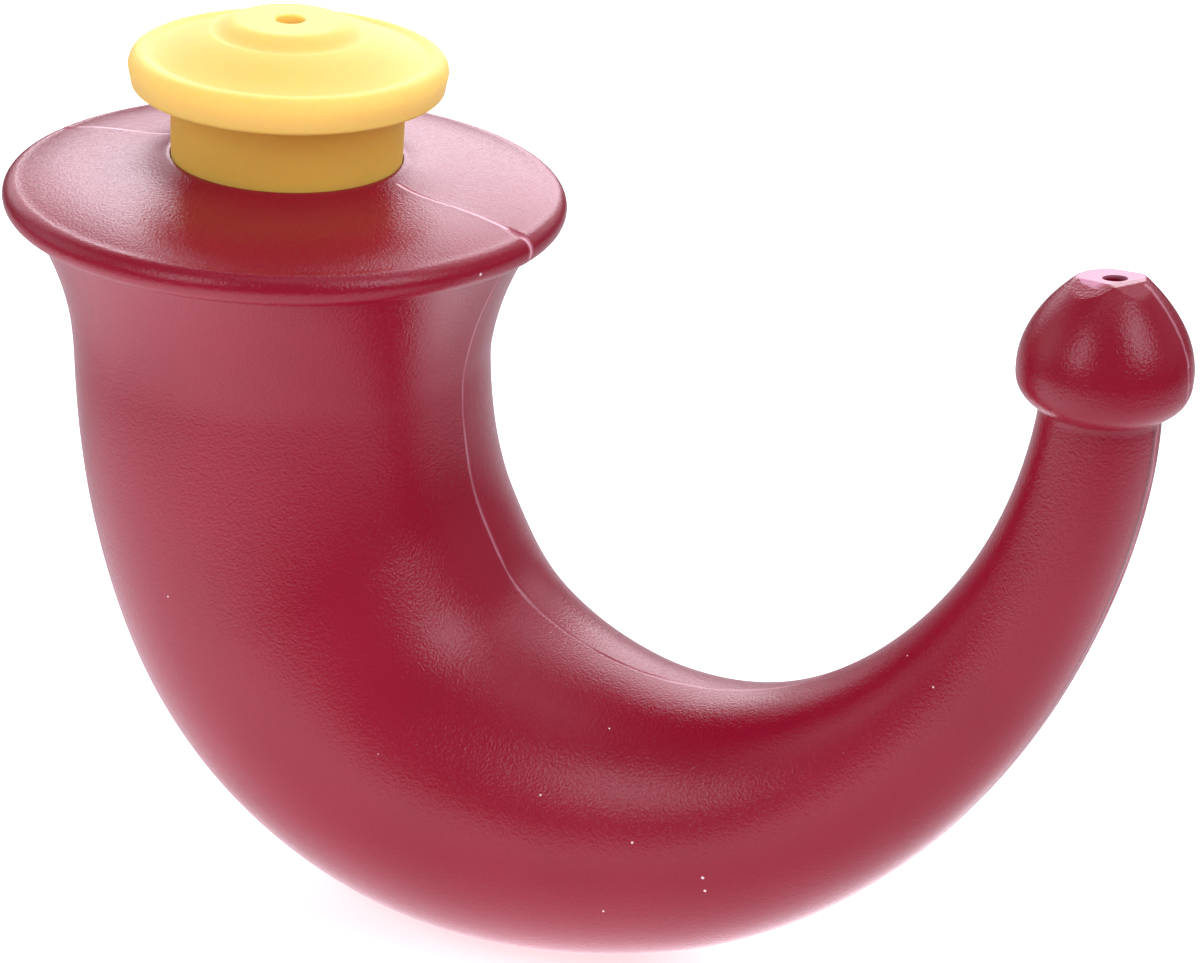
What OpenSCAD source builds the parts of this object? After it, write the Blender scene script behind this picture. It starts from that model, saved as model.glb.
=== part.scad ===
// Nasal rinsing pot: a hollow horn with a filling deck at one end and a nozzle at the other,
// closed by a push-in stopper with a finger vent.
// The origin lies on the table under the middle of the whole pot.
// +X runs from the filling deck to the nozzle, and +Z is up.

/* [Deck and rim] */
// Diameter of the deck over its rim bead
deck_d = 80; // [70:1:90]
// Thickness of the round bead that runs around the rim
bead_d = 4.5; // [3.6:0.1:5.6]
// How far the horn tucks in under the bead
bead_tuck = 1.4; // [1:0.1:2]
// Rise of the deck from the bead to the middle of its crown
crown_rise = 2; // [0.5:0.1:3]
// Extra rise of the deck where it flares up around the filling hole
flare_rise = 1.9; // [0.5:0.1:3]
// Wall of the deck and of the lip inside the filling hole
deck_wall = 1.5; // [1.1:0.1:2]
// Depth of the lip inside the filling hole
lip_depth = 5; // [3:0.5:7]

/* [Horn] */
// Distance from the axis of the filling hole to the axis of the nozzle
reach = 124.6; // [110:0.2:140]
// Straight length of the horn's centre line below the rim
straight_h = 21; // [14:1:26]
// Depth of the lowest point of the centre line below the rim
heel_drop = 82.6; // [72:0.2:92]
// How far that lowest point lies ahead of the filling hole
heel_reach = 51.5; // [44:0.5:58]
// How long the centre line keeps falling straight before it bends
fall_pull = 35.5; // [30:0.5:42]
// How long the centre line runs level before its lowest point
heel_pull = 35.5; // [29:0.5:40]
// How long the centre line already rises straight before the nozzle
climb_pull = 30.5; // [22:0.5:38]
// Depth of the crease under the nozzle below the rim
crease_drop = 4.8; // [0:0.2:12]
// Depth over which the shoulder under the rim narrows to the belly
shoulder_h = 25; // [18:1:34]
// Diameter of the belly
belly_d = 60; // [52:0.5:66]
// Diameter where the horn starts to turn up
heel_d = 54; // [48:0.5:58]
// Diameter at the foot of the spout
throat_d = 41; // [36:0.5:46]
// Diameter halfway up the spout
spout_d = 28; // [24:0.5:32]
// Diameter of the upper spout
upper_d = 19.7; // [17:0.1:22]
// Diameter of the neck under the nozzle
neck_d = 16; // [14:0.1:17]
// Wall of the horn under the rim
wall_rim = 1.4; // [1.1:0.1:1.8]
// Wall of the horn in the spout
wall_spout = 3; // [2.2:0.1:3.6]
// Depth to which the round heel is cut flat to stand on
foot_cut = 2; // [1:0.1:3]
// Thickness of the floor over that foot
floor_wall = 3; // [2:0.1:4]

/* [Nozzle] */
// Largest diameter of the nozzle
nozzle_d = 23; // [19:0.1:27]
// Diameter of the crease between neck and nozzle
crease_d = 16.5; // [16.2:0.1:18]
// Height of the nozzle above the crease
nozzle_h = 18.1; // [15:0.1:22]
// Height of the widest place of the nozzle above the crease
nozzle_widest_h = 5.4; // [4:0.1:7]
// Diameter of the trimmed face at the tip
tip_d = 8.4; // [6:0.1:10]
// Wall of the nozzle around its hollow
nozzle_wall = 2.8; // [2:0.1:3.4]
// Bore of the nozzle
bore_d = 3.3; // [2.4:0.1:4.5]
// Length of the bore below the tip
bore_len = 3.6; // [2.5:0.1:5]

/* [Stopper] */
// Diameter of the stopper's collar under the brim
collar_d = 33.2; // [28:0.1:38]
// Length of the collar between the deck and the brim
collar_h = 10; // [8:0.5:13]
// Depth of the plug below the top of the filling hole
plug_h = 7.5; // [5:0.5:9]
// How much the collar and plug narrow from the brim to the lower end
plug_taper = 0.8; // [0.2:0.1:1.4]
// Wall of the collar and plug
plug_wall = 1.6; // [1.2:0.1:2.2]
// Radial gap between the stopper and the filling hole
plug_gap = 0.15; // [0.1:0.05:0.3]
// Diameter of the brim
brim_d = 45; // [41:0.5:49]
// Height of the brim from its underside to its crest
brim_h = 5.1; // [4.2:0.1:6]
// Depth of the dish inside the crest
dish_depth = 1.7; // [1:0.1:2]
// Height of the central hat above the dish
hat_h = 6.4; // [5:0.1:8]
// Diameter of the hat's flat top
hat_top_d = 13; // [11:0.5:15]
// Diameter of the hat where it leaves the dish
hat_base_d = 29; // [27:0.5:31]
// Thickness of the stopper's roof under dish and hat
roof_wall = 2.8; // [2.2:0.1:3]
// Diameter of the finger vent
vent_d = 4.1; // [3:0.1:5]

/* [Hidden] */

// Resolution of the swept shell and of the turned profiles.
shell_sides = 36;
straight_rings = 6;
fall_rings = 20;
climb_rings = 20;
profile_steps = 12;
$fn = 96;

// Overlap that buries one feature's edge in the next, and a small turn that keeps
// the turned parts' seams off the shell's corners.
bury = 0.15;
seam_turn = 3.7;
edge_chamfer = 0.4;

// The deck's frame: z = 0 at the top of the rim bead, x = 0 on the filling hole's axis.
deck_r = deck_d / 2;
bead_r = bead_d / 2;
bead_axis_r = deck_r - bead_r;
shell_top = -bead_d * 2 / 3;
seat_z = crown_rise + flare_rise;
brim_z = seat_z + collar_h;
crest_z = brim_z + brim_h;
dish_z = crest_z - dish_depth;
plug_end_z = seat_z - plug_h;
crease_z = -crease_drop;

// The plug's cone, and the hole that it fits.
function plug_r(z) = collar_d / 2 - plug_taper / 2 * (brim_z - z) / (brim_z - plug_end_z);
hole_r = plug_r(seat_z) + plug_gap;
hole_edge_r = hole_r + edge_chamfer;

// A cubic curve through four guide points, and its direction.
function curve(p, u) =
    pow(1 - u, 3) * p[0] + 3 * u * pow(1 - u, 2) * p[1] + 3 * u * u * (1 - u) * p[2] + pow(u, 3) * p[3];
function curve_dir(p, u) =
    let (d = pow(1 - u, 2) * (p[1] - p[0]) + 2 * u * (1 - u) * (p[2] - p[1]) + u * u * (p[3] - p[2]))
    d / norm(d);

// The centre line, as [point, direction] pairs: straight down, around the heel, and up to the crease.
// The two curves share their direction and their bend at the heel.
bend_start = [0, -straight_h];
heel = [heel_reach, -heel_drop];
crease = [reach, crease_z];
fall_left = heel_drop - straight_h - fall_pull;
climb_left = heel_drop - crease_drop - climb_pull;
heel_push = heel_pull * sqrt(climb_left / fall_left);
fall = [bend_start, bend_start - [0, fall_pull], heel - [heel_pull, 0], heel];
climb = [heel, heel + [heel_push, 0], crease - [0, climb_pull], crease];
stations = concat(
    [for (i = [0 : straight_rings - 1])
        [[0, shell_top + (-straight_h - shell_top) * i / straight_rings], [0, -1]]],
    [for (i = [0 : fall_rings - 1])
        [curve(fall, i / fall_rings), curve_dir(fall, i / fall_rings)]],
    [for (i = [0 : climb_rings])
        [curve(climb, i / climb_rings), curve_dir(climb, i / climb_rings)]]
);
last = len(stations) - 1;

// Length of the centre line from the rim to each station.
run = [for (i = 0, s = 0; i <= last; s = s + norm(stations[min(i + 1, last)][0] - stations[i][0]), i = i + 1) s];

// Radius of the horn: named sections at even steps along the last part of the centre line,
// joined smoothly, and a shoulder that widens quadratically towards the rim.
taper_start = 0.25;
sections = [belly_d, heel_d, throat_d, spout_d, upper_d, neck_d] / 2;
top_section = len(sections) - 1;
function section_slope(k) =
    k == 0 ? 0 :
    k == top_section ? sections[k] - sections[k - 1] :
    (sections[k + 1] - sections[k - 1]) / 2;
function section_r(w) =
    let (
        u = max(0, w - taper_start) / (1 - taper_start) * top_section,
        k = min(floor(u), top_section - 1),
        t = u - k
    )
    (2 * pow(t, 3) - 3 * t * t + 1) * sections[k]
    + (pow(t, 3) - 2 * t * t + t) * section_slope(k)
    + (3 * t * t - 2 * pow(t, 3)) * sections[k + 1]
    + (pow(t, 3) - t * t) * section_slope(k + 1);
function shoulder_r(i) =
    let (left = 1 - (run[i] + shell_top + bead_d) / shoulder_h)
    (deck_r - bead_tuck - belly_d / 2) * pow(max(0, min(1, left)), 2);
function outer_r(i) = section_r(run[i] / run[last]) + shoulder_r(i);

// The wall thickens evenly from below the shoulder to the upper spout.
wall_grow_start = 0.15;
wall_grow_end = 0.85;
function wall(i) =
    let (w = (run[i] / run[last] - wall_grow_start) / (wall_grow_end - wall_grow_start))
    wall_rim + (wall_spout - wall_rim) * max(0, min(1, w));

// Table height in the deck's frame: the lowest point of the round horn, plus the foot's cut.
lowest = min([for (i = [0 : last]) stations[i][0][1] - outer_r(i) * abs(stations[i][1][0])]);
table_z = lowest + foot_cut;
deck_x = -(reach + nozzle_d / 2 - deck_r) / 2;

// One ring of the shell around station i, kept above floor_z.
function ring(i, r, floor_z) =
    let (
        c = stations[i][0],
        side = [-stations[i][1][1], stations[i][1][0]]
    )
    [for (j = [0 : shell_sides - 1])
        let (a = 360 * j / shell_sides)
        [c[0] + r * cos(a) * side[0], r * sin(a), max(floor_z, c[1] + r * cos(a) * side[1])]];

// The horn's wall is one closed skin: down the outside, and back up the inside.
module shell() {
    rings = concat(
        [for (i = [0 : last]) ring(i, outer_r(i), lowest)],
        [for (i = [last : -1 : 0]) ring(i, outer_r(i) - wall(i), table_z + floor_wall)]
    );
    count = len(rings);
    polyhedron(
        points = [for (r = rings) for (p = r) p],
        faces = [for (i = [0 : count - 1]) for (j = [0 : shell_sides - 1]) for (half = [0, 1])
            let (
                near = i * shell_sides,
                far = ((i + 1) % count) * shell_sides,
                next = (j + 1) % shell_sides
            )
            half == 0 ? [near + j, far + next, far + j] : [near + j, near + next, far + next]]
    );
}

// Deck surface between the filling hole and the bead's crest, t = 0 at the bead.
function deck_surface(t) = [
    bead_axis_r + (hole_edge_r - bead_axis_r) * t,
    crown_rise * (1 - pow(1 - t, 3)) + flare_rise * pow(t, 6)
];

// The deck's plate is open to the bead over this part of the bead's round, in degrees, and its
// underside starts this share of the way in from the bead.
bead_open = 60;
under_from = 0.12;

// The deck with its bead and the lip that hangs inside the filling hole.
module deck() {
    bead_steps = 3 * profile_steps;
    lip_r = hole_r + deck_wall;
    lip_end_z = seat_z - lip_depth;
    under_to = (bead_axis_r - lip_r) / (bead_axis_r - hole_edge_r);
    top = [for (i = [profile_steps : -1 : 1]) deck_surface(i / profile_steps)];
    bead = [for (i = [0 : bead_steps])
        let (a = 90 - (360 - bead_open) * i / bead_steps)
        [bead_axis_r + bead_r * cos(a), -bead_r + bead_r * sin(a)]];
    under = [for (i = [0 : profile_steps])
        deck_surface(under_from + (under_to - under_from) * i / profile_steps) - [0, deck_wall]];
    rotate_extrude()
        polygon(concat(
            [[lip_r, lip_end_z], [hole_r, lip_end_z], [hole_r, seat_z - edge_chamfer]],
            top,
            bead,
            under
        ));
}

// Profile of the nozzle from its foot over its widest place to its end, for outside and hollow.
function bulb(foot_r, foot_z, side_r, side_z, end_r, end_z) = concat(
    [for (i = [0 : profile_steps - 1])
        let (t = i / profile_steps)
        [side_r - (side_r - foot_r) * pow(1 - t, 3), foot_z + (side_z - foot_z) * t]],
    [for (i = [0 : profile_steps])
        let (t = i / profile_steps)
        [side_r - (side_r - end_r) * t * t, side_z + (end_z - side_z) * t]]
);
function reversed(points) = [for (i = [len(points) - 1 : -1 : 0]) points[i]];

// Depth of the ring that roots the nozzle inside the neck's wall.
root_h = 1.5;

module nozzle() {
    foot_z = crease_z - bury;
    widest_z = crease_z + nozzle_widest_h;
    tip_z = crease_z + nozzle_h;
    hollow_r = neck_d / 2 - wall_spout - bury;
    root_in = neck_d / 2 - wall_spout * 3 / 4;
    root_out = neck_d / 2 - wall_spout / 4;
    outside = bulb(crease_d / 2, foot_z, nozzle_d / 2, widest_z, tip_d / 2, tip_z);
    hollow = bulb(hollow_r, foot_z, nozzle_d / 2 - nozzle_wall, widest_z, bore_d / 2, tip_z - bore_len);
    rotate_extrude()
        polygon(concat(
            [[root_in, crease_z - root_h], [root_out, crease_z - root_h], [root_out, foot_z]],
            outside,
            [[bore_d / 2, tip_z]],
            reversed(hollow),
            [[root_in, foot_z]]
        ));
}

module horn_body() {
    foot_block = [2 * reach, 2 * deck_d, heel_drop];
    color("firebrick")
        translate([deck_x, 0, -table_z])
        difference() {
            union() {
                shell();
                rotate(seam_turn) deck();
                translate([reach, 0, 0]) rotate(seam_turn) nozzle();
            }
            translate([-deck_r, -deck_d, table_z - foot_block[2]]) cube(foot_block);
        }
}

// A smooth step from 0 to 1.
function ease(t) = (1 - cos(180 * max(0, min(1, t)))) / 2;

// The brim's side: how much it leans inwards, how high its rounded upper edge is, and the
// radius of its lower corner.
side_lean = 0.4;
side_top = 2.2;
brim_corner = 0.7;

module stopper() {
    brim_r = brim_d / 2;
    crest_r = brim_r - side_top + side_lean;
    hat_top_r = hat_top_d / 2;
    hat_base_r = hat_base_d / 2;
    hat_z = dish_z + hat_h;
    end_r = plug_r(plug_end_z);
    inner_r = end_r - plug_wall;
    // The inside of the hat follows its outside, one roof's thickness further in.
    roof_z = dish_z - roof_wall;
    inner_base_r = min(hat_base_r, inner_r) - 1;
    inner_top_r = hat_top_r - roof_wall / 2;
    corner = [for (i = [0 : 4])
        let (a = -90 + 80 * i / 4)
        [brim_r - side_lean - brim_corner * (1 - cos(a)), brim_z + brim_corner * (1 + sin(a))]];
    edge = [for (i = [0 : profile_steps])
        let (a = 90 * i / profile_steps)
        [crest_r + (brim_r - crest_r) * cos(a), crest_z - side_top + side_top * sin(a)]];
    dish = [for (i = [1 : profile_steps])
        let (t = i / profile_steps)
        [crest_r + (hat_base_r - crest_r) * t, crest_z - dish_depth * ease(t)]];
    hat = [for (i = [1 : profile_steps])
        let (t = i / profile_steps)
        [hat_base_r + (hat_top_r - hat_base_r) * t, dish_z + hat_h * ease(t)]];
    hat_inside = [for (i = [0 : profile_steps])
        let (t = i / profile_steps)
        [inner_top_r + (inner_base_r - inner_top_r) * t, roof_z + hat_h * ease(1 - t)]];
    color("khaki")
        translate([deck_x, 0, -table_z])
        rotate_extrude()
        polygon(concat(
            [
                [inner_r, plug_end_z],
                [end_r - edge_chamfer, plug_end_z],
                [plug_r(plug_end_z + edge_chamfer), plug_end_z + edge_chamfer],
                [collar_d / 2, brim_z]
            ],
            corner,
            edge,
            dish,
            hat,
            [[vent_d / 2, hat_z], [vent_d / 2, roof_z + hat_h]],
            hat_inside,
            [[inner_r, roof_z]]
        ));
}

horn_body();
stopper();
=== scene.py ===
"""Looks for the nasal rinsing pot: a red blow-moulded horn and its yellow push-in stopper."""

import math

import bpy
import numpy as np
from mathutils import Matrix, Vector


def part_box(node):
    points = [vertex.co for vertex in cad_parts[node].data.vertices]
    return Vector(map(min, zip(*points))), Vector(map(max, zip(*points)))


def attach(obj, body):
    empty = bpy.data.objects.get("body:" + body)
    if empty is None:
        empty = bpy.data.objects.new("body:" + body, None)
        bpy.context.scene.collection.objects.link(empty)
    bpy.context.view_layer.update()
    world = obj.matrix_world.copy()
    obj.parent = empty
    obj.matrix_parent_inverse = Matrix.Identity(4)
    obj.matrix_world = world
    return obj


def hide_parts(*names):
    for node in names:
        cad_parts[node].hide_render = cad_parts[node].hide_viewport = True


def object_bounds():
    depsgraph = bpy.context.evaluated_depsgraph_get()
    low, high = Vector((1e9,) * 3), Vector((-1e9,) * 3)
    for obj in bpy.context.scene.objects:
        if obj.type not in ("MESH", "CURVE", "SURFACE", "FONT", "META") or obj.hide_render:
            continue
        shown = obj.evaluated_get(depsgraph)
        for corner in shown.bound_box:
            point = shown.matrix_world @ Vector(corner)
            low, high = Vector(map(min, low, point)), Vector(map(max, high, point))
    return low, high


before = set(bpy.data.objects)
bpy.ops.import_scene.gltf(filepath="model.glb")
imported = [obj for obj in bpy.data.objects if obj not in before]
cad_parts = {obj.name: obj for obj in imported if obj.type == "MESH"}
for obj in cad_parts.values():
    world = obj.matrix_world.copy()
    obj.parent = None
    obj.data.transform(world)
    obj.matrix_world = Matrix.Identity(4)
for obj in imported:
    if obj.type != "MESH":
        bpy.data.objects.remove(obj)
cad_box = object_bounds()

MM = 0.001

# Sizes in millimetres, in the deck's frame: z = 0 at the top of the rim bead, x = 0 on the
# filling hole's axis. They repeat the part's own driving values.
DECK_R = 40.0
BEAD_R = 2.25
BEAD_AXIS_R = DECK_R - BEAD_R
BEAD_TUCK = 1.4
CROWN_RISE = 2.0
FLARE_RISE = 1.9
DECK_WALL = 1.5
LIP_DEPTH = 5.0
REACH = 124.6
STRAIGHT_H = 21.0
HEEL_DROP = 82.6
HEEL_REACH = 51.5
FALL_PULL = 35.5
HEEL_PULL = 35.5
CLIMB_PULL = 30.5
CREASE_DROP = 4.8
SHOULDER_H = 25.0
SECTION_D = (60.0, 54.0, 41.0, 28.0, 19.7, 16.0)
TAPER_START = 0.25
WALL_RIM = 1.4
WALL_SPOUT = 3.0
WALL_GROW = (0.15, 0.85)
FLOOR_WALL = 3.0
NOZZLE_R = 11.5
CREASE_R = 8.25
NOZZLE_H = 18.1
NOZZLE_WIDEST_H = 5.4
TIP_R = 4.2
NOZZLE_WALL = 2.8
BORE_R = 1.65
BORE_LEN = 3.6
COLLAR_R = 16.6
COLLAR_H = 10.0
PLUG_H = 7.5
PLUG_TAPER = 0.8
PLUG_WALL = 1.6
PLUG_GAP = 0.15
BRIM_R = 22.5
BRIM_H = 5.1
DISH_DEPTH = 1.7
HAT_H = 6.4
HAT_TOP_R = 6.5
HAT_BASE_R = 14.5
# The stopper's top as photographed: a low cone inside the crest, and a step up to a flat middle.
CONE_R = 19.2
CONE_DIP = 0.3
STEP_R = 11.2
STEP_RISE = 1.7
MIDDLE_R = 7.2
ROOF_WALL = 2.8
VENT_R = 2.05

SHELL_TOP = -BEAD_R * 4 / 3
SEAT_Z = CROWN_RISE + FLARE_RISE
BRIM_Z = SEAT_Z + COLLAR_H
CREST_Z = BRIM_Z + BRIM_H
DISH_Z = CREST_Z - DISH_DEPTH
HAT_Z = DISH_Z + HAT_H
PLUG_END_Z = SEAT_Z - PLUG_H
CREASE_Z = -CREASE_DROP
WIDEST_Z = CREASE_Z + NOZZLE_WIDEST_H
TIP_Z = CREASE_Z + NOZZLE_H


def plug_r(z):
    """Radius of the plug's cone at height z."""
    return COLLAR_R - PLUG_TAPER / 2 * (BRIM_Z - z) / (BRIM_Z - PLUG_END_Z)


HOLE_R = plug_r(SEAT_Z) + PLUG_GAP
HOLE_EDGE_R = HOLE_R + 0.4

# The deck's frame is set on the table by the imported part's own box.
horn_low, horn_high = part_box("horn_body")
DECK_X = horn_low.x / MM + DECK_R
TABLE_Z = TIP_Z - horn_high.z / MM


def to_row(points):
    """Deck-frame millimetres to row-frame metres."""
    return (np.asarray(points, float) + np.array([DECK_X, 0.0, -TABLE_Z])) * MM


# The horn's centre line and radius


def bezier(p, u):
    u = np.asarray(u)[:, None]
    return (1 - u) ** 3 * p[0] + 3 * u * (1 - u) ** 2 * p[1] + 3 * u * u * (1 - u) * p[2] + u**3 * p[3]


def centre_line(step):
    """Points along the centre line at even steps, with their directions and lengths from the rim."""
    start = np.array([0.0, -STRAIGHT_H])
    heel = np.array([HEEL_REACH, -HEEL_DROP])
    crease = np.array([REACH, CREASE_Z])
    push = HEEL_PULL * math.sqrt(
        (HEEL_DROP - CREASE_DROP - CLIMB_PULL) / (HEEL_DROP - STRAIGHT_H - FALL_PULL)
    )
    fall = [start, start - [0, FALL_PULL], heel - [HEEL_PULL, 0], heel]
    climb = [heel, heel + [push, 0], crease - [0, CLIMB_PULL], crease]
    u = np.linspace(0, 1, 2001)
    rim = np.array([[0.0, SHELL_TOP]])
    line = np.concatenate([rim, bezier(fall, u), bezier(climb, u)[1:]])
    length = np.concatenate([[0], np.cumsum(np.hypot(*np.diff(line, axis=0).T))])
    s = np.linspace(0, length[-1], int(length[-1] / step) + 1)
    points = np.stack([np.interp(s, length, line[:, k]) for k in (0, 1)], 1)
    ahead = np.stack([np.interp(s + 0.05, length, line[:, k]) for k in (0, 1)], 1)
    behind = np.stack([np.interp(s - 0.05, length, line[:, k]) for k in (0, 1)], 1)
    direction = ahead - behind
    direction /= np.linalg.norm(direction, axis=1, keepdims=True)
    return points, direction, s


def section_r(w):
    """Radius from the named sections, joined smoothly."""
    r = np.array(SECTION_D) / 2
    top = len(r) - 1
    slope = np.concatenate([[0], (r[2:] - r[:-2]) / 2, [r[-1] - r[-2]]])
    u = np.maximum(0, w - TAPER_START) / (1 - TAPER_START) * top
    k = np.minimum(u.astype(int), top - 1)
    t = u - k
    return (
        (2 * t**3 - 3 * t**2 + 1) * r[k]
        + (t**3 - 2 * t**2 + t) * slope[k]
        + (3 * t**2 - 2 * t**3) * r[k + 1]
        + (t**3 - t**2) * slope[k + 1]
    )


def outer_r(s, total):
    """The horn's outer radius, with the shoulder that flares out to the rim."""
    left = np.clip(1 - (s + SHELL_TOP + 2 * BEAD_R) / SHOULDER_H, 0, 1)
    return section_r(s / total) + (DECK_R - BEAD_TUCK - SECTION_D[0] / 2) * left**2


def wall(s, total):
    """The wall, which grows from the rim to the spout."""
    w = (s / total - WALL_GROW[0]) / (WALL_GROW[1] - WALL_GROW[0])
    return WALL_RIM + (WALL_SPOUT - WALL_RIM) * np.clip(w, 0, 1)


def deck_surface(t):
    """The deck's profile, from the rim at 0 to the hole's edge at 1."""
    r = BEAD_AXIS_R + (HOLE_EDGE_R - BEAD_AXIS_R) * t
    return np.stack([r, CROWN_RISE * (1 - (1 - t) ** 3) + FLARE_RISE * t**6], -1)


def bulb(foot_r, foot_z, side_r, end_r, end_z, low, high):
    """Nozzle profile from its foot over its widest place to its end."""
    a = np.linspace(0, 1, low + 1)[:-1]
    b = np.linspace(0, 1, high + 1)
    rise = np.stack([side_r - (side_r - foot_r) * (1 - a) ** 3, foot_z + (WIDEST_Z - foot_z) * a], -1)
    fall = np.stack([side_r - (side_r - end_r) * b**2, WIDEST_Z + (end_z - WIDEST_Z) * b], -1)
    return np.concatenate([rise, fall])


# How much closer the hole's edge stands to the collar than the rest of the hole.
LIP_TIGHT = 0.1

# One closed grid of rings makes the whole pot. Each ring has a centre, a side vector in the XZ plane
# that points to its first column, and a radius. The first column and the one opposite lie on the
# mould's parting line, where the columns stand close together.
NEAR_SEAM = np.array([0.0, 0.13, 0.27, 0.42, 0.6, 0.85, 1.2, 1.7])
NEAR_SHARE = 0.9
BETWEEN = 68
# Steps of the rings along the horn's outside and along its hollow.
ROW_STEP = 0.95
HOLLOW_STEP = 2.2


def ring_angles(r):
    """Column angles of a ring: fixed distances beside both parting lines, and even steps between."""
    near = np.minimum(NEAR_SEAM, NEAR_SHARE * r) / r
    even = np.linspace(near[-1], math.pi - near[-1], BETWEEN + 2)[1:-1]
    half = np.concatenate([near, even, math.pi - near[::-1]])
    return np.concatenate([half, 2 * math.pi - half[-2:0:-1]])


def ring_points(centre, side, r):
    a = ring_angles(r)
    out = np.empty((len(a), 3))
    out[:, 0] = centre[0] + r * np.cos(a) * side[0]
    out[:, 1] = r * np.sin(a)
    out[:, 2] = centre[1] + r * np.cos(a) * side[1]
    return out


def turned(axis_x, side_x, profile):
    """Rings of a turned profile of radii and heights."""
    return [((axis_x, z), (side_x, 0.0), r) for r, z in profile]


def swept(step, hollow=False):
    """Rings along the centre line, on the horn's outside or its hollow, and their lengths from the rim."""
    points, direction, s = centre_line(step)
    r = outer_r(s, s[-1])
    if hollow:
        r = r - wall(s, s[-1])
    side = np.stack([-direction[:, 1], direction[:, 0]], 1)
    return [(tuple(p), tuple(d), q) for p, d, q in zip(points, side, r)], s


def arc(cx, cz, r, start, end, count):
    """Points of a round in a profile, from angle to angle in degrees."""
    a = np.radians(np.linspace(start, end, count))
    return np.stack([cx + r * np.cos(a), cz + r * np.sin(a)], -1)


def soft_floor(z, level, blend):
    """z, but never under level, with a rounded change over about the blend height."""
    d = (z - level) / blend
    return level + blend * np.where(d > 20, d, np.log1p(np.exp(np.minimum(d, 20))))


# The knife cut at the tip: a face that leans a little, and five bevels where its edge was trimmed.
# Angles are the azimuth a cut faces and its lean from the vertical; a bevel meets the face at its inset.
FACE_H = 12.45
FACE_CUT = (147.0, 6.9)
BEVELS = (
    (241.0, 28.0, 3.1),
    (333.0, 28.0, 3.7),
    (29.0, 32.0, 4.3),
    (95.0, 30.0, 3.8),
    (166.0, 30.0, 4.0),
)
# A bevel counts as cut past the first depth, and is this much less pale than the face. The face
# is fully pale past the last depth.
BEVEL_FROM = 0.02
BEVEL_PALE = 0.3
FACE_FROM = 0.05


def cut_tip(p):
    """Presses what stands out past the knife's cuts onto them, and returns how deep the face's cut was."""
    middle = np.array([REACH, 0.0, WIDEST_Z])
    depth = None
    for azimuth, lean, inset in ((*FACE_CUT, 0.0), *BEVELS):
        a, b = math.radians(azimuth), math.radians(lean)
        n = np.array([math.cos(a) * math.sin(b), math.sin(a) * math.sin(b), math.cos(b)])
        over = np.maximum(0, (p - middle) @ n - inset * math.sin(b) - FACE_H * math.cos(b))
        p -= over[:, None] * n
        if depth is None:
            depth = over
        else:
            depth = np.where(over > BEVEL_FROM, BEVEL_PALE * depth, depth)
    return depth


def noise_1d(seed, count, smooth):
    """Smooth random numbers of about unit size along a line."""
    rng = np.random.default_rng(seed)
    raw = rng.normal(size=count + 6 * smooth)
    kernel = np.exp(-0.5 * (np.arange(-3 * smooth, 3 * smooth + 1) / smooth) ** 2)
    out = np.convolve(raw, kernel / np.sqrt((kernel**2).sum()), mode="same")
    return out[3 * smooth : 3 * smooth + count]


# Small rounds of the pot's hidden and open edges.
LIP_END_ROUND = 0.15
LIP_ROUND = 0.2
# The bead hides the horn's first rings, down to this length.
BEAD_HIDES = 1.6
# The deck's rings stand closer together where it rises to the hole.
DECK_ROWS = 34
DECK_CROWD = 1.35


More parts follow.
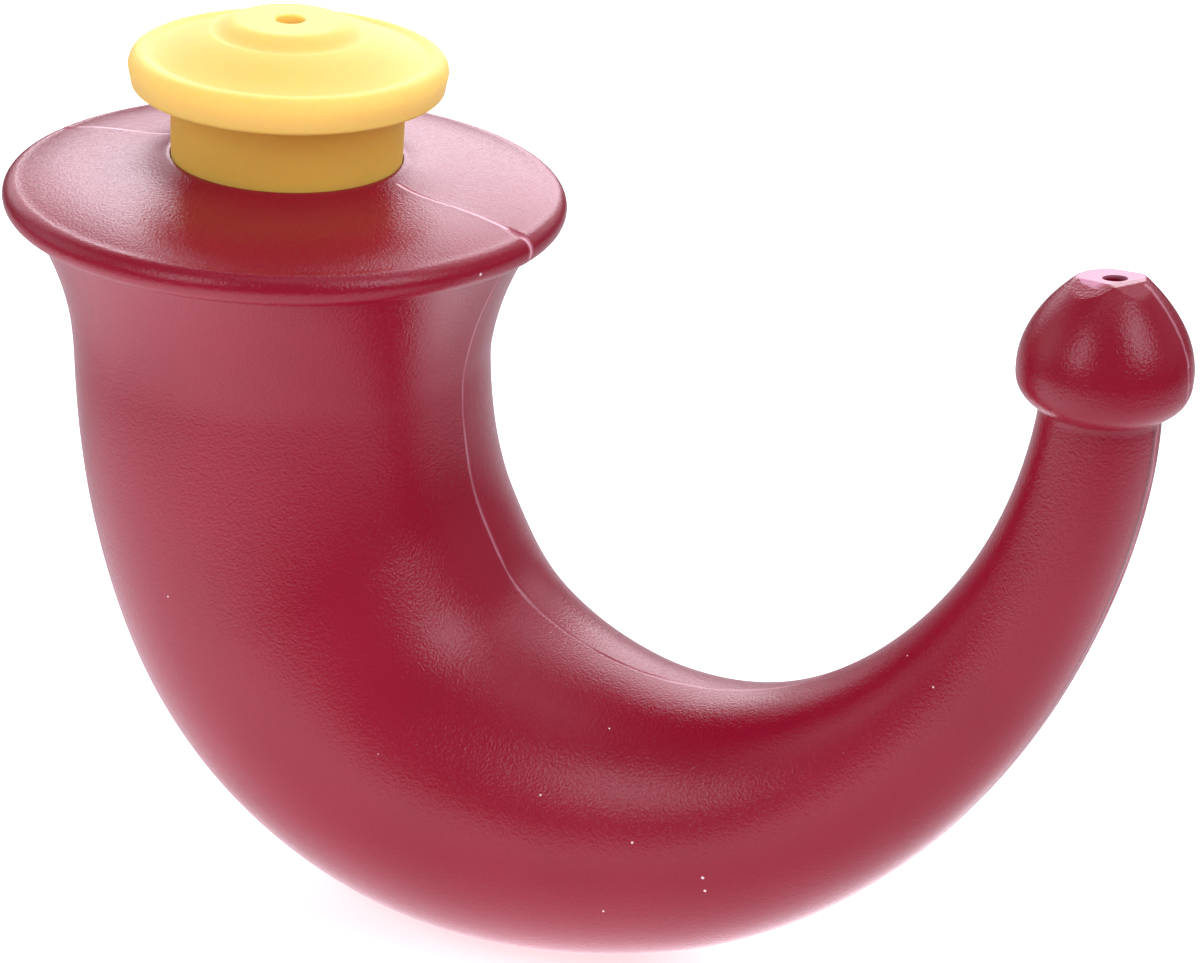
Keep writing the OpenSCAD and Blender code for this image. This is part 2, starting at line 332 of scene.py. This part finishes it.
def pot_rings():
    """All rings of the pot, from the hole's lip over the outside to the nozzle, and back inside."""
    rings = []
    marks = {}
    lip_r = HOLE_R + DECK_WALL
    lip_end = SEAT_Z - LIP_DEPTH
    lip_foot_z = lip_end + LIP_END_ROUND
    lip = [(HOLE_R + LIP_END_ROUND, lip_end), (HOLE_R, lip_foot_z), (HOLE_R, SEAT_Z - 1.5)]
    rings += turned(0, 1, lip)
    rings += turned(0, 1, arc(HOLE_R - LIP_TIGHT + LIP_ROUND, SEAT_Z - LIP_ROUND, LIP_ROUND, 180, 92, 5))
    t = 1 - np.linspace(0.03, 1, DECK_ROWS) ** DECK_CROWD
    marks["deck"] = len(rings)
    rings += turned(0, 1, deck_surface(t))
    marks["bead"] = len(rings)
    rings += turned(0, 1, arc(BEAD_AXIS_R, -BEAD_R, BEAD_R, 84, -112, 30))
    marks["horn"] = len(rings)
    outside, s = swept(ROW_STEP)
    first = int(np.argmax(s > BEAD_HIDES))
    rings += outside[first:-1]
    marks["nozzle"] = len(rings)
    spout_r = SECTION_D[-1] / 2
    rings += turned(REACH, -1, [(spout_r, CREASE_Z - 0.1), (spout_r + 0.06, CREASE_Z + 0.02)])
    dome = bulb(CREASE_R + 0.1, CREASE_Z + 0.1, NOZZLE_R, TIP_R, TIP_Z, 18, 50)
    rings += turned(REACH, -1, dome)
    face = np.stack([np.linspace(TIP_R - 0.2, BORE_R + 0.2, 14), np.full(14, TIP_Z)], -1)
    rings += turned(REACH, -1, face)
    marks["bore"] = len(rings)
    bore = [(BORE_R + 0.05, TIP_Z - 0.04)] + [(BORE_R, TIP_Z - down) for down in (0.15, 1.0, 2.2)]
    rings += turned(REACH, -1, bore)
    hollow = bulb(spout_r - WALL_SPOUT, CREASE_Z, NOZZLE_R - NOZZLE_WALL, BORE_R, TIP_Z - BORE_LEN, 8, 14)
    rings += turned(REACH, -1, hollow[::-1])
    marks["inside"] = len(rings)
    inside, _ = swept(HOLLOW_STEP, hollow=True)
    rings += inside[-2:0:-1]
    marks["inside_end"] = len(rings)
    under_to = (BEAD_AXIS_R - lip_r) / (BEAD_AXIS_R - HOLE_EDGE_R)
    under = deck_surface(np.linspace(0.12, under_to, 12)) - [0, DECK_WALL]
    rings += turned(0, 1, [(BEAD_AXIS_R - BEAD_R + 0.3, -BEAD_R)])
    rings += turned(0, 1, under)
    rings += turned(0, 1, [(lip_r, lip_foot_z), (lip_r - LIP_END_ROUND, lip_end)])
    return rings, marks


def grid_normals(p):
    """Unit normals of a grid that closes on itself both ways, rows by columns."""
    along = np.roll(p, -1, 0) - np.roll(p, 1, 0)
    around = np.roll(p, -1, 1) - np.roll(p, 1, 1)
    n = np.cross(around, along)
    return n / np.maximum(np.linalg.norm(n, axis=2, keepdims=True), 1e-9)


# The changes from the round heel to the flat foot and to the floor inside are this soft.
FOOT_SOFT = 0.12
FLOOR_SOFT = 0.3
# The parting line's ridge and the shallow groove that it stands in: height and half width.
RIDGE_H = 0.17
RIDGE_W = 0.22
GROOVE_H = 0.03
GROOVE_W = 0.8
# The ridge's height wanders by a share, and the line itself by millimetres.
RIDGE_MEAN = 0.75
RIDGE_SWING = 0.35
LINE_SWING = 0.05
# How much higher and wider the ridge stands where it crosses the rim, and how low it is on the deck.
RIM_FLASH_H = 3.6
RIM_FLASH_W = 1.7
DECK_FLASH_H = 0.4
# Flash on the neck and the dome: mean and swing of the ridge's height, and its width on the neck.
NECK_FLASH = (1.6, 1.4)
NECK_FLASH_W = 1.5
DOME_FLASH = (0.6, 0.5)
# How strongly the line's painted highlight, a paler colour, shows on the horn. On the deck it is at full
# strength.
SEAM_HIGHLIGHT = 0.42
# Rows, counted from the grid's marks: both ends of the line, its way over the rim and the neck,
# where the dome starts, and both ends of the trimmed tip.
LINE_ROWS = (4, -14)
RIM_ROWS = (-2, 16)
NECK_ROWS = (-11, -1)
DOME_ROW = 8
TIP_ROWS = (40, 3)
# Seeds of the line in the bend, which the first column follows, and of the one opposite.
BEND_LINE = 3
OUTER_LINE = 4
# Along the outside of the spout a fine groove runs on both sides of the ridge, and painted shade darkens
# its colour.
EDGE_OFF = 1.2
EDGE_W = 0.3
EDGE_DEEP = 0.07
# It fades in where this slope, from the rim to the neck, goes from 0 to 1.
EDGE_FADE = (-1.2, 2.4)


def build_pot():
    """The pot's grid of points, and how much of each is cut, painted highlight of the parting line and
    painted shade of the groove.
    """
    rings, marks = pot_rings()
    p = np.array([ring_points(*ring) for ring in rings])
    radii = np.array([ring[2] for ring in rings])
    rows, cols = p.shape[:2]
    # The foot and the floor over it.
    horn = slice(marks["horn"], marks["nozzle"])
    p[horn, :, 2] = soft_floor(p[horn, :, 2], TABLE_Z, FOOT_SOFT)
    inner = slice(marks["inside"], marks["inside_end"])
    p[inner, :, 2] = soft_floor(p[inner, :, 2], TABLE_Z + FLOOR_WALL, FLOOR_SOFT)
    # The parting line: a fine ridge in a shallow groove, uneven along its length.
    normal = grid_normals(p)
    angles = np.array([ring_angles(r) for r in radii])
    across = np.minimum(angles, 2 * math.pi - angles)
    seam_lift = np.zeros((rows, cols))
    skin = np.zeros(rows)
    skin[marks["deck"] + LINE_ROWS[0] : marks["bore"] + LINE_ROWS[1]] = 1
    flash_h = np.ones(rows)
    flash_w = np.ones(rows)
    rim = slice(marks["bead"] + RIM_ROWS[0], marks["bead"] + RIM_ROWS[1])
    neck = slice(marks["nozzle"] + NECK_ROWS[0], marks["nozzle"] + NECK_ROWS[1])
    dome = slice(marks["nozzle"] + DOME_ROW, marks["bore"])
    flash_h[marks["deck"] : rim.start] = DECK_FLASH_H
    flash_h[rim] = RIM_FLASH_H
    flash_w[rim] = RIM_FLASH_W
    highlight_share = np.full(rows, SEAM_HIGHLIGHT)
    highlight_share[marks["deck"] : marks["horn"]] = 1
    seam_highlight = np.zeros((rows, cols))
    spout = np.zeros(rows)
    spout[horn] = np.clip(np.linspace(*EDGE_FADE, horn.stop - horn.start), 0, 1)
    for seed, offset in ((BEND_LINE, across), (OUTER_LINE, np.abs(math.pi - across))):
        rough = noise_1d(seed + 20, rows, 1)
        if seed == OUTER_LINE:
            flash_h[neck] = NECK_FLASH[0] + NECK_FLASH[1] * np.clip(rough[neck], -1, 2)
            flash_w[neck] = NECK_FLASH_W
        flash_h[dome] = DOME_FLASH[0] + DOME_FLASH[1] * np.clip(rough[dome], -1, 2)
        d = offset * radii[:, None]
        height = flash_h * RIDGE_H * (RIDGE_MEAN + RIDGE_SWING * noise_1d(seed, rows, 3))
        shift = LINE_SWING * noise_1d(seed + 10, rows, 4)
        line = np.exp(-(((d - shift[:, None]) / (flash_w[:, None] * RIDGE_W)) ** 2))
        dip = np.exp(-((d / GROOVE_W) ** 2))
        seam_lift += skin[:, None] * (height[:, None] * line - GROOVE_H * dip)
        # Painted highlight: the ridge is coloured paler, as if it caught the light.
        seam_highlight += (skin * highlight_share)[:, None] * line
    # The last line drawn is the outer one, so d is the distance from it.
    # The groove's mask both sinks the surface and darkens its colour with painted shade.
    edge = spout[:, None] * np.exp(-(((d - EDGE_OFF) / EDGE_W) ** 2))
    seam_lift -= EDGE_DEEP * edge
    p += normal * seam_lift[:, :, None]
    # The trimmed tip.
    tip = slice(marks["nozzle"] + TIP_ROWS[0], marks["bore"] + TIP_ROWS[1])
    shape = p[tip].shape
    flat = p[tip].reshape(-1, 3)
    depth = cut_tip(flat)
    p[tip] = flat.reshape(shape)
    cut = np.zeros((rows, cols))
    cut[tip] = np.clip(depth.reshape(shape[:2]) / FACE_FROM, 0, 1)
    return p, cut, np.clip(seam_highlight, 0, 1), edge


def grid_mesh(name, p, attributes=None):
    """A mesh object from a grid of row-frame points that closes on itself both ways."""
    rows, cols = p.shape[:2]
    index = np.arange(rows * cols).reshape(rows, cols)
    a, b = index, np.roll(index, -1, 0)
    faces = np.stack([a, np.roll(a, -1, 1), np.roll(b, -1, 1), b], -1).reshape(-1, 4)
    mesh = bpy.data.meshes.new(name)
    mesh.vertices.add(rows * cols)
    mesh.vertices.foreach_set("co", p.reshape(-1))
    mesh.loops.add(faces.size)
    mesh.loops.foreach_set("vertex_index", faces.reshape(-1))
    mesh.polygons.add(len(faces))
    mesh.polygons.foreach_set("loop_start", np.arange(0, faces.size, 4))
    mesh.update(calc_edges=True)
    mesh.polygons.foreach_set("use_smooth", np.ones(len(faces), bool))
    for key, values in (attributes or {}).items():
        layer = mesh.attributes.new(key, "FLOAT", "POINT")
        layer.data.foreach_set("value", values.reshape(-1))
    mesh.validate()
    mesh.update()
    obj = bpy.data.objects.new(name, mesh)
    bpy.context.scene.collection.objects.link(obj)
    return obj


def inside_box(p):
    """Row-frame points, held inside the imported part's own box."""
    low, high = np.array(cad_box[0]), np.array(cad_box[1])
    return np.clip(p, low, high)


def smooth_step(t):
    """0 to 1 with soft ends."""
    return (1 - np.cos(np.pi * np.clip(t, 0, 1))) / 2


# The stopper's rounds.
PLUG_IN_ROUND = 0.3
PLUG_ROUND = 0.45
COLLAR_FILLET = 0.45
BRIM_ROUND = 0.75
BRIM_DRAFT = 0.4
CREST_W = 1.8
CREST_H = 2.2
VENT_ROUND = 0.35
# The share of a soft step in the cone's straight slope.
CONE_EASE = 0.25
STOPPER_COLS = 160


def between(start, end, shares):
    """Points of a profile from one point to another, by the shares of the way out and of the way up."""
    out, up = shares
    return np.stack([start[0] + (end[0] - start[0]) * out, start[1] + (end[1] - start[1]) * up], -1)


def build_stopper():
    """The stopper's turned grid: plug, collar, brim with its rounded crest, cone, step and middle."""
    end_r = plug_r(PLUG_END_Z)
    inner_r = end_r - PLUG_WALL
    crest_r = BRIM_R - CREST_W
    roof_z = DISH_Z - ROOF_WALL
    hat_foot, hat_top = min(HAT_BASE_R, inner_r) - 1, HAT_TOP_R - ROOF_WALL / 2
    foot_z, step_z = CREST_Z - CONE_DIP, HAT_Z - STEP_RISE
    t = np.linspace(0, 1, 30)[1:]
    soft = smooth_step(t)
    quarter = np.radians(np.linspace(0, 90, 14))
    side_r = BRIM_R - BRIM_DRAFT
    profile = np.concatenate([
        arc(inner_r + PLUG_IN_ROUND, PLUG_END_Z + PLUG_IN_ROUND, PLUG_IN_ROUND, 180, 270, 5),
        arc(end_r - PLUG_ROUND, PLUG_END_Z + PLUG_ROUND, PLUG_ROUND, 270, 355, 6),
        [(plug_r(z), z) for z in np.linspace(PLUG_END_Z + 1.2, BRIM_Z - 0.6, 12)],
        arc(COLLAR_R + COLLAR_FILLET, BRIM_Z - COLLAR_FILLET, COLLAR_FILLET, 178, 92, 5),
        [(r, BRIM_Z) for r in np.linspace(COLLAR_R + 1.2, BRIM_R - 1.6, 5)],
        arc(side_r - BRIM_ROUND, BRIM_Z + BRIM_ROUND, BRIM_ROUND, -90, -8, 8),
        [(BRIM_R - 0.3, BRIM_Z + 1.4), (BRIM_R - 0.12, BRIM_Z + 2.2)],
        between((crest_r, CREST_Z - CREST_H), (BRIM_R, CREST_Z), (np.cos(quarter), np.sin(quarter))),
        between((crest_r, CREST_Z), (CONE_R, foot_z), (t, soft))[::3],
        between((CONE_R, foot_z), (STEP_R, step_z), (t, (1 - CONE_EASE) * t + CONE_EASE * soft)),
        between((STEP_R, step_z), (MIDDLE_R, HAT_Z), (t, soft)),
        [(r, HAT_Z) for r in (6.6, 5.4, 4.2, 3.0)],
        arc(VENT_R + VENT_ROUND, HAT_Z - VENT_ROUND, VENT_ROUND, 90, 180, 5),
        [(VENT_R, HAT_Z - 1.4), (VENT_R, roof_z + HAT_H)],
        between((hat_top, roof_z), (hat_foot, roof_z + HAT_H), (t, smooth_step(1 - t)))[::2],
        [(inner_r - 0.4, roof_z), (inner_r, roof_z - 0.4), (inner_r, 8.0), (inner_r, 2.0)],
    ])
    a = np.linspace(0, 2 * math.pi, STOPPER_COLS + 1)[:-1]
    p = np.empty((len(profile), len(a), 3))
    p[:, :, 0] = profile[:, :1] * np.cos(a)
    p[:, :, 1] = profile[:, :1] * np.sin(a)
    p[:, :, 2] = profile[:, 1:]
    return p


# Materials


class Nodes:
    """A short way to write a node tree."""

    def __init__(self, name, world=None):
        owner = world or bpy.data.materials.new(name)
        owner.use_nodes = True
        self.owner, self.tree = owner, owner.node_tree
        self.tree.nodes.clear()

    def add(self, kind, **values):
        node = self.tree.nodes.new("ShaderNode" + kind)
        for key, value in values.items():
            if key in node.bl_rna.properties:
                setattr(node, key, value)
            else:
                self.put(node.inputs[key.replace("_", " ")], value)
        return node

    def put(self, socket, value):
        if isinstance(value, bpy.types.NodeSocket):
            self.tree.links.new(value, socket)
        else:
            socket.default_value = value

    def math(self, operation, a, b=0.0):
        node = self.tree.nodes.new("ShaderNodeMath")
        node.operation = operation
        self.put(node.inputs[0], a)
        self.put(node.inputs[1], b)
        return node.outputs[0]

    def span(self, value, low, high, to_low=0.0, to_high=1.0):
        node = self.tree.nodes.new("ShaderNodeMapRange")
        for k, v in enumerate((value, low, high, to_low, to_high)):
            self.put(node.inputs[k], v)
        return node.outputs[0]

    def mix(self, factor, a, b):
        node = self.tree.nodes.new("ShaderNodeMix")
        node.data_type = "RGBA"
        self.put(node.inputs[0], factor)
        self.put(node.inputs[6], a)
        self.put(node.inputs[7], b)
        return node.outputs[2]

    def noise(self, where, scale, detail=2.0, rough=0.5):
        node = self.add("TexNoise", Scale=scale, Detail=detail, Roughness=rough)
        self.put(node.inputs["Vector"], where)
        return node.outputs["Fac"]

    def attribute(self, name):
        return self.add("Attribute", attribute_name=name).outputs["Fac"]

    def distance(self, where, point):
        node = self.add("VectorMath", operation="DISTANCE")
        self.put(node.inputs[0], where)
        self.put(node.inputs[1], point)
        return node.outputs["Value"]

    def finish(self, shader, kind="OutputMaterial"):
        """Joins the shader to the tree's output and returns the material or world."""
        self.tree.links.new(shader.outputs[0], self.add(kind).inputs[0])
        return self.owner


# Colours, linear. Each plastic drifts a little between two.
RED = ((0.228, 0.003, 0.018, 1), (0.248, 0.0045, 0.022, 1))
# Painted shade for the groove beside the spout's outer ridge.
GROOVE_SHADE_RED = (0.1, 0.0, 0.008, 1)
# A painted highlight along the parting line's ridge.
SEAM_HIGHLIGHT_PINK = (0.78, 0.42, 0.5, 1)
CUT_PINK = (0.62, 0.27, 0.38, 1)
DUST = (0.9, 0.72, 0.74, 1)
YELLOW = ((0.99, 0.64, 0.16, 1), (1.0, 0.66, 0.175, 1))
# Painted shade and painted red bounce light for the collar under the brim.
COLLAR_SHADE_YELLOW = (1.0, 0.56, 0.1, 1)
WHITE = (1, 1, 1, 1)
# Dust lies thickest here, low on the near side of the spout, and thins out between two distances.
DUSTY_SPOT = (0.045, -0.015, 0.03)
DUSTY_EDGE = (0.02, 0.055)
DUSTY_SHARE = (0.15, 0.85)
# The pattern's cells for each metre, and a speck's largest radius in cells.
DUST_CELLS = 210.0
DUST_SIZE = 0.055


def red_plastic():
    n = Nodes("red_plastic")
    where = n.add("TexCoord").outputs["Object"]
    cut = n.attribute("cut")
    cloud = n.noise(where, 38.0, 3.0)
    grain = n.noise(where, 2600.0, 2.0, 0.6)
    color = n.mix(n.span(cloud, 0.35, 0.65), *RED)
    # Painted shade: the grooves beside the outer ridge are darkened.
    color = n.mix(n.math("MULTIPLY", n.attribute("edge"), 0.85), color, GROOVE_SHADE_RED)
    # Painted highlight along the parting line's ridge.
    color = n.mix(n.math("MULTIPLY", n.attribute("seam_highlight"), 0.9), color, SEAM_HIGHLIGHT_PINK)
    color = n.mix(n.math("MULTIPLY", cut, 0.8), color, CUT_PINK)
    # Dust: few cells of a coarse pattern carry a speck, each a fraction of a millimetre wide.
    cell = n.add("TexVoronoi", Scale=DUST_CELLS)
    n.put(cell.inputs["Vector"], where)
    pick = n.add("SeparateColor", Color=cell.outputs["Color"]).outputs[0]
    sparse = n.span(n.distance(where, DUSTY_SPOT), *DUSTY_EDGE, *DUSTY_SHARE)
    size = n.span(pick, sparse, 1.0, 0.0, DUST_SIZE)
    dust = n.math("LESS_THAN", cell.outputs["Distance"], size)
    color = n.mix(n.math("MULTIPLY", dust, 0.8), color, DUST)
    rough = n.math("ADD", n.span(cloud, 0.3, 0.7, 0.19, 0.22), n.math("MULTIPLY", cut, 0.2))
    wave = n.add("Bump", Strength=0.5, Distance=0.0003, Height=n.noise(where, 55.0, 1.0))
    pebble = n.add("Bump", Strength=1.0, Distance=0.00008, Height=grain)
    n.put(pebble.inputs["Normal"], wave.outputs[0])
    shader = n.add("BsdfPrincipled", Base_Color=color, Roughness=rough, Normal=pebble.outputs[0])
    shader.inputs["IOR"].default_value = 1.5
    shader.inputs["Specular IOR Level"].default_value = 0.29
    return n.finish(shader)


def yellow_plastic():
    n = Nodes("yellow_plastic")
    where = n.add("TexCoord").outputs["Object"]
    cloud = n.noise(where, 60.0, 2.0)
    grain = n.noise(where, 1400.0, 2.0)
    color = n.mix(n.span(cloud, 0.35, 0.65), *YELLOW)
    # Below the brim the colour is a deeper orange: painted shade under the brim and painted red light
    # bounced from the deck.
    height = n.add("SeparateXYZ", Vector=where).outputs["Z"]
    brim = float(to_row([0, 0, BRIM_Z])[2])
    color = n.mix(n.span(height, brim - MM, brim + MM), COLLAR_SHADE_YELLOW, color)
    bump = n.add("Bump", Strength=0.25, Distance=0.00006, Height=grain)
    rough = n.span(cloud, 0.3, 0.7, 0.5, 0.56)
    shader = n.add("BsdfPrincipled", Base_Color=color, Roughness=rough, Normal=bump.outputs[0])
    shader.inputs["IOR"].default_value = 1.46
    shader.inputs["Specular IOR Level"].default_value = 0.2
    shader.inputs["Subsurface Weight"].default_value = 0.8
    shader.inputs["Subsurface Radius"].default_value = (1.0, 0.55, 0.18)
    shader.inputs["Subsurface Scale"].default_value = 0.004
    return n.finish(shader)


# The studio


# What the camera sees of the table glows by this much near the pot and far off.
CAMERA_SHINE = (0.64, 1.0)
SHINE_EDGE = (0.3, 1.3)
LIGHT_COLOR = (0.96, 0.905, 1.0, 1)
# Pools of light on the table: place, radius of the full part, radius of the edge and radiance.
POOLS = (
    (0.04, -0.2, 0.05, 0.2, 1.4),
    (-0.12, -0.13, 0.03, 0.19, 1.85),
    (0.21, 0.02, 0.03, 0.22, 1.25),
    (-0.05, -0.4, 0.3, 0.7, 0.3),
    (0.01, 0.03, 0.02, 0.08, 2.0),
)
# The table's white, for all that the camera doesn't see straight, fades out between two radii.
TABLE_WHITE = 0.45
TABLE_EDGE = (0.35, 0.8)


def floor_material():
    """A lit table in a dim room. It takes the pot's shadow, and the camera sees it plain white."""
    n = Nodes("floor_white")
    where = n.add("TexCoord").outputs["Object"]
    camera = n.add("LightPath").outputs["Is Camera Ray"]
    glow = 0.0
    for x, y, full, edge, radiance in POOLS:
        away = n.distance(where, (x, y, 0.0))
        glow = n.math("ADD", glow, n.span(away, full, edge, radiance, 0.0))
    away = n.distance(where, (0.0, 0.0, 0.0))
    white = n.span(away, *TABLE_EDGE, TABLE_WHITE, 0.0)
    paper = n.span(n.noise(where, 3.0), 0.4, 0.6, 0.9, 0.92)
    diffuse = n.add("BsdfDiffuse", Color=n.math("MAXIMUM", white, n.math("MULTIPLY", camera, paper)))
    tint = n.mix(camera, LIGHT_COLOR, WHITE)
    shine = n.span(away, *SHINE_EDGE, *CAMERA_SHINE)
    emission = n.add("Emission", Color=tint, Strength=n.span(camera, 0, 1, glow, shine))
    both = n.add("AddShader")
    n.tree.links.new(diffuse.outputs[0], both.inputs[0])
    n.tree.links.new(emission.outputs[0], both.inputs[1])
    return n.finish(both)


def toward(azimuth, elevation):
    """The direction from the pot at an azimuth and elevation in radians."""
    flat = math.cos(elevation)
    return Vector((math.sin(azimuth) * flat, -math.cos(azimuth) * flat, math.sin(elevation)))


LAMP_TARGET = (0, 0, 0.06)


def soft_box(name, azimuth, elevation, distance, width, height, power):
    """An area lamp that looks at the pot's middle from the given direction."""
    light = bpy.data.lights.new(name, "AREA")
    light.shape = "RECTANGLE"
    light.size, light.size_y = width, height
    light.energy = power
    light.color = LIGHT_COLOR[:3]
    away = toward(math.radians(azimuth), math.radians(elevation))
    obj = bpy.data.objects.new(name, light)
    obj.location = Vector(LAMP_TARGET) + away * distance
    obj.rotation_euler = away.to_track_quat("Z", "Y").to_euler()
    bpy.context.scene.collection.objects.link(obj)


# The camera, fitted to the photograph: angles in degrees, target in the deck's frame.
CAMERA_AZ = 27.037
CAMERA_EL = 23.43
CAMERA_ROLL = 3.278
CAMERA_DISTANCE = 558.892
CAMERA_TARGET = (52.61, 0.0, -33.467)
CAMERA_LENS = 120.0
CAMERA_SENSOR = 36.0


def place_camera():
    a, e, roll = (math.radians(v) for v in (CAMERA_AZ, CAMERA_EL, CAMERA_ROLL))
    back = toward(a, e)
    level = Vector((math.cos(a), math.sin(a), 0))
    rise = back.cross(level)
    right = level * math.cos(roll) + rise * math.sin(roll)
    up = rise * math.cos(roll) - level * math.sin(roll)
    data = bpy.data.cameras.new("camera")
    data.lens = CAMERA_LENS
    data.sensor_width = CAMERA_SENSOR
    data.clip_start = 0.01
    camera = bpy.data.objects.new("camera", data)
    spot = Vector(to_row(CAMERA_TARGET)) + back * CAMERA_DISTANCE * MM
    turn = Matrix((right, up, back)).transposed().to_4x4()
    camera.matrix_world = Matrix.Translation(spot) @ turn
    bpy.context.scene.collection.objects.link(camera)
    bpy.context.scene.camera = camera


def plate(name, side):
    """A flat square in its own XY plane."""
    h = side / 2
    mesh = bpy.data.meshes.new(name)
    mesh.from_pydata([(-h, -h, 0), (h, -h, 0), (h, h, 0), (-h, h, 0)], [], [(0, 1, 2, 3)])
    obj = bpy.data.objects.new(name, mesh)
    bpy.context.scene.collection.objects.link(obj)
    return obj


# The room's strength for all but the camera, and the side of the square table.
ROOM = 0.37
TABLE_SIDE = 6.0
# Lamps: azimuth and elevation seen from the pot, distance, width, height and watts.
LAMPS = {
    "soft_left": (-15, 32, 1.0, 0.34, 0.55, 2.9),
    "soft_right": (79, 42, 1.0, 0.42, 0.65, 4.6),
    "left": (-70, 20, 1.1, 0.7, 0.7, 1.6),
    "back_left": (237, 28, 1.1, 0.7, 0.8, 2.9),
    "back": (207, 32, 1.1, 0.7, 0.8, 6.7),
    "low_back": (203, 8, 1.1, 0.5, 0.24, 0.8),
    "back_right": (175, 32, 1.1, 0.7, 0.8, 2.0),
    "high_right": (160, 60, 1.1, 0.8, 0.5, 2.5),
    "right": (120, 30, 1.1, 0.8, 0.8, 0.4),
    "top": (27, 80, 1.1, 0.6, 0.6, 1.3),
}


def light_room():
    """A dim studio that is plain white where the camera looks."""
    world = bpy.data.worlds.new("studio")
    bpy.context.scene.world = world
    n = Nodes("studio", world)
    camera = n.add("LightPath").outputs["Is Camera Ray"]
    strength = n.span(camera, 0, 1, ROOM, 1.0)
    n.finish(n.add("Background", Color=n.mix(camera, LIGHT_COLOR, WHITE), Strength=strength), "OutputWorld")


def light_scene():
    light_room()
    for name, place in LAMPS.items():
        soft_box(name, *place)
    floor = plate("floor", TABLE_SIDE)
    floor.data.materials.append(floor_material())


# Edges that bend more than this stay sharp.
POT_SHARP = math.radians(32)
STOPPER_SHARP = math.radians(50)

# The pot carries as layers how much of each point is cut, the parting line's painted highlight and the
# groove's painted shade.
points, cut, seam_highlight, edge = build_pot()
pot = grid_mesh("pot_skin", inside_box(to_row(points)), {"cut": cut, "seam_highlight": seam_highlight, "edge": edge})
pot.data.set_sharp_from_angle(angle=POT_SHARP)
pot.data.materials.append(red_plastic())
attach(pot, "pot")
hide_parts("horn_body")

stopper = grid_mesh("stopper_skin", inside_box(to_row(build_stopper())))
stopper.data.set_sharp_from_angle(angle=STOPPER_SHARP)
stopper.data.materials.append(yellow_plastic())
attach(stopper, "stopper")
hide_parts("stopper")

place_camera()
light_scene()
bpy.context.scene.view_settings.view_transform = "Standard"
